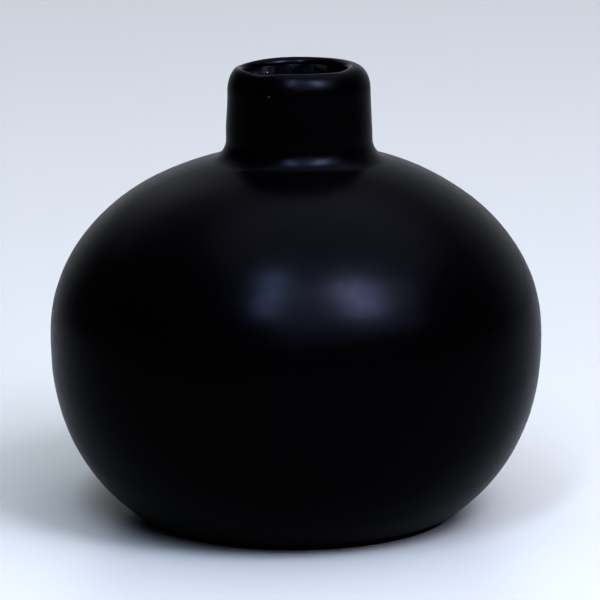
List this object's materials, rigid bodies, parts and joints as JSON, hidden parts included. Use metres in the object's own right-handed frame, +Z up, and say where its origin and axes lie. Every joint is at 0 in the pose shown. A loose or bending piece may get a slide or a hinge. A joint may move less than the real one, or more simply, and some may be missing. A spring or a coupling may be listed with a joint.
{
  "type": "bud vase",
  "caption": "Round matt black stoneware bud vase with a short narrow neck, a rounded lip, a glossy inside and a low foot ring.",
  "frame": {"origin": "centre of the foot ring, on the surface that the vase stands on", "axes": "+Z up the vase's axis, towards the mouth; the vase is round, so +X and +Y are free, and the view of reference looks along +Y"},
  "size_m": [0.105, 0.105, 0.0975],
  "materials": {
    "fired_clay": "bare fired stoneware, wiped clean",
    "matt_glaze": "satin matt black glaze",
    "gloss_glaze": "glossy black liner glaze"
  },
  "bodies": {
    "root": {"stoneware_body": "fired_clay", "outer_glaze": "matt_glaze", "liner_glaze": "gloss_glaze", "foot_recess_glaze": "matt_glaze"}
  },
  "joints": []
}
